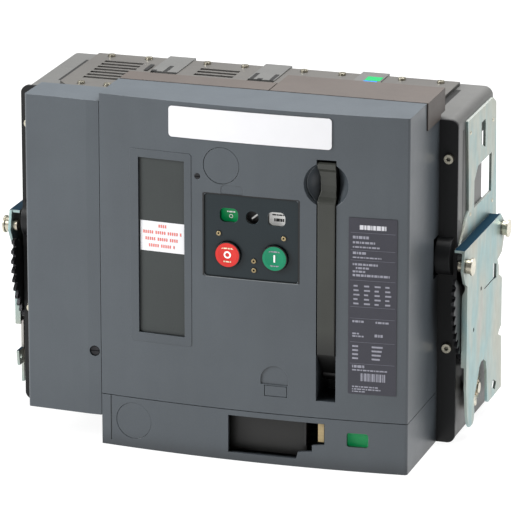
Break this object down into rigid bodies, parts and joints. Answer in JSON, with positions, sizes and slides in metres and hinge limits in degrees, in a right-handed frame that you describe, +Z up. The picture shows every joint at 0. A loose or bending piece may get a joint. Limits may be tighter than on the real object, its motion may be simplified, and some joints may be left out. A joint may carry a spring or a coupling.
{
  "type": "air circuit breaker",
  "caption": "Withdrawable low-voltage air circuit breaker: bowed front cover with charging handle, push buttons, pole housing with arc chutes, galvanised racking plates.",
  "frame": {"origin": "middle of the footprint, at the height the feet stand on", "axes": "+X to the right seen from the operator, +Y to the back (towards the busbars), +Z up"},
  "size_m": [0.548, 0.3293, 0.403],
  "materials": {
    "cover_plastic": "fine moulded texture",
    "bezel_plastic": "fine moulded texture",
    "panel_plastic": "fine moulded texture",
    "control_plastic": "satin",
    "label_dark": "printed film",
    "white_plate": "satin film",
    "handle_plastic": "moulded texture",
    "red_button": "satin",
    "green_button": "satin",
    "green_flag": "printed",
    "white_flag": "printed",
    "black_flag": "printed",
    "brass": "brushed",
    "dark_steel": "oiled, dark",
    "zinc_steel": "zinc plated",
    "galvanised": "yellow-blue passivated zinc",
    "spring_steel": "bright",
    "clear_lens": "clear",
    "terminal_plastic": "moulded",
    "flange_plastic": "moulded",
    "housing_plastic": "glass-filled polyester",
    "chute_plastic": "glass-filled polyester",
    "copper": "silver-plated copper"
  },
  "bodies": {
    "root": {"front_cover": "cover_plastic", "side_cover": "cover_plastic", "lower_fascia": "cover_plastic", "knockout_plugs": "cover_plastic", "nameplate": "white_plate", "rating_label": "label_dark", "window_bezel": "bezel_plastic", "blank_panel": "panel_plastic", "notice_label": "white_plate", "control_bezel": "control_plastic", "button_springs": "spring_steel", "screw_carrier": "zinc_steel", "position_lens": "clear_lens", "panel_screws": "brass", "cover_screws": "zinc_steel", "terminal_block_left": "terminal_plastic", "terminal_block_right": "terminal_plastic", "mounting_flange": "flange_plastic", "flange_screws": "zinc_steel", "housing_front": "housing_plastic", "housing_rear": "housing_plastic", "arc_chute_1": "chute_plastic", "arc_chute_2": "chute_plastic", "arc_chute_3": "chute_plastic", "arc_chute_4": "chute_plastic", "splitter_plates": "dark_steel", "arc_chute_screws": "zinc_steel", "lower_stabs": "copper", "upper_stabs": "copper", "finger_clusters": "copper", "pivot_pins": "zinc_steel", "mechanism_frames": "galvanised", "closing_springs": "spring_steel", "side_plate_right": "galvanised", "side_plate_left": "galvanised", "lower_plate_right": "galvanised", "lower_plate_left": "galvanised", "roller_pins": "zinc_steel"},
    "open_button": {"open_button": "red_button"},
    "close_button": {"close_button": "green_button"},
    "contact_flag": {"contact_flag": "green_flag"},
    "ready_flag": {"ready_flag": "black_flag"},
    "spring_flag": {"spring_flag": "white_flag"},
    "charging_handle": {"charging_handle": "handle_plastic"},
    "racking_shutter": {"racking_shutter": "panel_plastic"},
    "padlock_slide": {"padlock_slide": "brass"},
    "racking_screw": {"racking_screw": "dark_steel"},
    "position_flag": {"position_flag": "green_flag"},
    "moving_contacts": {"moving_contacts": "copper"},
    "pole_shaft": {"pole_shaft": "dark_steel"},
    "cam_shaft": {"cam_shaft": "dark_steel"},
    "trip_shaft": {"trip_shaft": "dark_steel"},
    "close_shaft": {"close_shaft": "dark_steel"},
    "racking_sector_right": {"racking_sector_right": "dark_steel"},
    "racking_sector_left": {"racking_sector_left": "dark_steel"},
    "cross_shaft": {"cross_shaft": "zinc_steel"},
    "roller_front_right": {"roller_front_right": "zinc_steel"},
    "roller_front_left": {"roller_front_left": "zinc_steel"},
    "roller_rear_right": {"roller_rear_right": "zinc_steel"},
    "roller_rear_left": {"roller_rear_left": "zinc_steel"}
  },
  "joints": [
    {"name": "open_button_press", "type": "slide", "parent": "root", "child": "open_button", "axis": [0, 1, 0], "range_m": [0, 0.005], "stiffness_N_per_m": 600, "springref_m": -0.002},
    {"name": "close_button_press", "type": "slide", "parent": "root", "child": "close_button", "axis": [0, 1, 0], "range_m": [0, 0.005], "stiffness_N_per_m": 600, "springref_m": -0.002},
    {"name": "trip_shaft_turn", "type": "hinge", "parent": "root", "child": "trip_shaft", "pos_m": [0, -0.1263, 0.222], "axis": [-1, 0, 0], "range_deg": [0, 27]},
    {"name": "close_shaft_turn", "type": "hinge", "parent": "root", "child": "close_shaft", "pos_m": [0, -0.1263, 0.252], "axis": [1, 0, 0], "range_deg": [0, 21]},
    {"name": "charging_handle_swing", "type": "hinge", "parent": "root", "child": "charging_handle", "pos_m": [0.142, -0.1283, 0.104], "axis": [1, 0, 0], "range_deg": [0, 65], "stiffness_Nm_per_rad": 0.9, "springref_deg": -17.19},
    {"name": "cam_shaft_turn", "type": "hinge", "parent": "root", "child": "cam_shaft", "pos_m": [0, -0.0903, 0.15], "axis": [1, 0, 0], "range_deg": [0, 60], "deforming": ["closing_springs"]},
    {"name": "spring_flag_shift", "type": "slide", "parent": "root", "child": "spring_flag", "axis": [0, 0, -1], "range_m": [0, 0.017]},
    {"name": "ready_flag_shift", "type": "slide", "parent": "root", "child": "ready_flag", "axis": [0, 0, -1], "range_m": [0, 0.017]},
    {"name": "pole_shaft_turn", "type": "hinge", "parent": "root", "child": "pole_shaft", "pos_m": [0, -0.0563, 0.217], "axis": [1, 0, 0], "range_deg": [0, 50]},
    {"name": "moving_contacts_swing", "type": "hinge", "parent": "root", "child": "moving_contacts", "pos_m": [0, 0.0837, 0.112], "axis": [-1, 0, 0], "range_deg": [0, 14]},
    {"name": "contact_flag_shift", "type": "slide", "parent": "root", "child": "contact_flag", "axis": [0, 0, -1], "range_m": [0, 0.017]},
    {"name": "racking_shutter_slide", "type": "slide", "parent": "root", "child": "racking_shutter", "axis": [-1, 0, 0], "range_m": [0, 0.058]},
    {"name": "padlock_slide_pull", "type": "slide", "parent": "root", "child": "padlock_slide", "axis": [0, -1, 0], "range_m": [0, 0.018]},
    {"name": "cross_shaft_turn", "type": "hinge", "parent": "root", "child": "cross_shaft", "pos_m": [0, 0.0287, 0.046], "axis": [-1, 0, 0], "range_deg": [0, 212]},
    {"name": "racking_screw_turn", "type": "hinge", "parent": "root", "child": "racking_screw", "pos_m": [0.081, -0.0923, 0.031], "axis": [0, 1, 0], "range_deg": [0, 2130]},
    {"name": "racking_sector_right_swing", "type": "hinge", "parent": "root", "child": "racking_sector_right", "pos_m": [0.257, 0.0347, 0.17], "axis": [1, 0, 0], "range_deg": [0, 58]},
    {"name": "racking_sector_left_swing", "type": "hinge", "parent": "root", "child": "racking_sector_left", "pos_m": [-0.257, 0.0347, 0.17], "axis": [1, 0, 0], "range_deg": [0, 58]},
    {"name": "position_flag_shift", "type": "slide", "parent": "root", "child": "position_flag", "axis": [-1, 0, 0], "range_m": [0, 0.022]},
    {"name": "roller_front_right_spin", "type": "hinge", "parent": "root", "child": "roller_front_right", "pos_m": [0.2696, -0.0383, 0.208], "axis": [1, 0, 0], "continuous": true},
    {"name": "roller_front_left_spin", "type": "hinge", "parent": "root", "child": "roller_front_left", "pos_m": [-0.2696, -0.0383, 0.208], "axis": [1, 0, 0], "continuous": true},
    {"name": "roller_rear_right_spin", "type": "hinge", "parent": "root", "child": "roller_rear_right", "pos_m": [0.2696, 0.1162, 0.208], "axis": [1, 0, 0], "continuous": true},
    {"name": "roller_rear_left_spin", "type": "hinge", "parent": "root", "child": "roller_rear_left", "pos_m": [-0.2696, 0.1162, 0.208], "axis": [1, 0, 0], "continuous": true}
  ],
  "couplings": [
    {"joint": "trip_shaft_turn", "follows": "open_button_press", "rad_per_m": 90.757},
    {"joint": "close_shaft_turn", "follows": "close_button_press", "rad_per_m": 69.813},
    {"joint": "cam_shaft_turn", "follows": "charging_handle_swing", "ratio": 0.92215},
    {"joint": "spring_flag_shift", "follows": "charging_handle_swing", "m_per_rad": 0.014897},
    {"joint": "ready_flag_shift", "follows": "charging_handle_swing", "m_per_rad": 0.014897},
    {"joint": "moving_contacts_swing", "follows": "pole_shaft_turn", "ratio": 0.27972},
    {"joint": "contact_flag_shift", "follows": "pole_shaft_turn", "m_per_rad": 0.019366},
    {"joint": "racking_screw_turn", "follows": "cross_shaft_turn", "ratio": 9.99},
    {"joint": "racking_sector_right_swing", "follows": "cross_shaft_turn", "ratio": 0.2732},
    {"joint": "racking_sector_left_swing", "follows": "cross_shaft_turn", "ratio": 0.2732},
    {"joint": "position_flag_shift", "follows": "cross_shaft_turn", "m_per_rad": 0.0059188}
  ]
}
